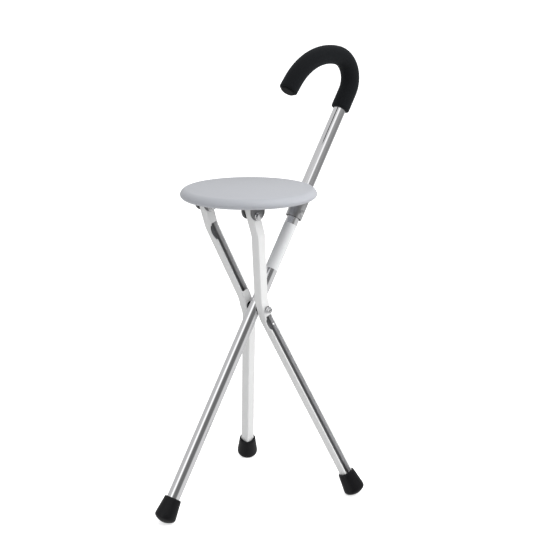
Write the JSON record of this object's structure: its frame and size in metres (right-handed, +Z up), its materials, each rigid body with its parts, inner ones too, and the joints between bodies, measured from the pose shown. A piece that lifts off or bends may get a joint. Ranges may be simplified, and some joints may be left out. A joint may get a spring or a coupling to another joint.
{
  "type": "walking stick seat",
  "caption": "Walking stick with a round folding seat: two windowed legs turn on a hub bolt, and a sleeve under the seat's rear slides along the tube.",
  "frame": {"origin": "middle of the box's underside, on the floor", "axes": "+Z up with the stick open, +X from the tube's foot towards its handle, Y along the pivots"},
  "size_m": [0.4756, 0.3018, 0.764],
  "materials": {
    "polished_tube": "polished, clear anodised",
    "foam": "closed-cell foam, fine matt grain",
    "black_plastic": "moulded, matt",
    "rubber": "moulded black rubber, satin",
    "steel": "zinc plated, hidden",
    "bright_steel": "bright zinc plated",
    "dark_steel": "dark zinc plated sheet",
    "nylon": "turned black nylon",
    "leg_aluminium": "off-white satin paint",
    "seat_plastic": "moulded grey plastic, satin"
  },
  "bodies": {
    "stick": {"main_tube": "polished_tube", "foam_grip": "foam", "grip_plug": "black_plastic", "tube_tip": "rubber", "tube_tip_washer": "steel", "hub_bolt": "bright_steel", "hub_nut": "bright_steel", "hub_washers": "bright_steel", "hub_spacers": "nylon", "hub_core": "nylon"},
    "front_leg": {"leg_front": "leg_aluminium", "leg_tip_front": "rubber", "tip_washer_front": "steel", "hub_bush_front": "steel", "top_bush_front": "steel"},
    "back_leg": {"leg_back": "leg_aluminium", "leg_tip_back": "rubber", "tip_washer_back": "steel", "hub_bush_back": "steel", "top_bush_back": "steel"},
    "seat": {"seat_plate": "seat_plastic", "bracket_front": "dark_steel", "bracket_back": "dark_steel", "pivot_bolt_front": "bright_steel", "pivot_bolt_back": "bright_steel", "pivot_nut_front": "bright_steel", "pivot_nut_back": "bright_steel", "pivot_washers_front": "nylon", "pivot_washers_back": "nylon", "rear_bracket": "dark_steel", "rear_pin": "bright_steel", "bracket_screws": "bright_steel"},
    "slider": {"slide_sleeve": "dark_steel", "sleeve_liner": "nylon", "liner_rivets": "bright_steel"}
  },
  "joints": [
    {"name": "fold", "type": "hinge", "parent": "stick", "child": "front_leg", "pos_m": [-0.01247, 0, 0.3327], "axis": [0, 1, 0], "range_deg": [0, 46.08]},
    {"name": "back_leg_fold", "type": "hinge", "parent": "stick", "child": "back_leg", "pos_m": [-0.01247, 0, 0.3327], "axis": [0, 1, 0], "range_deg": [0, 46.08]},
    {"name": "seat_tilt", "type": "hinge", "parent": "front_leg", "child": "seat", "pos_m": [-0.07079, 0, 0.507], "axis": [0, 1, 0], "range_deg": [-102.89, 0]},
    {"name": "sleeve_turn", "type": "hinge", "parent": "seat", "child": "slider", "pos_m": [0.07413, 0, 0.518], "axis": [0, 1, 0], "range_deg": [0, 56.81]}
  ],
  "couplings": [
    {"joint": "back_leg_fold", "follows": "fold", "ratio": 1},
    {"joint": "seat_tilt", "follows": "fold", "ratio": -2.2326},
    {"joint": "sleeve_turn", "follows": "fold", "ratio": 1.2326}
  ]
}
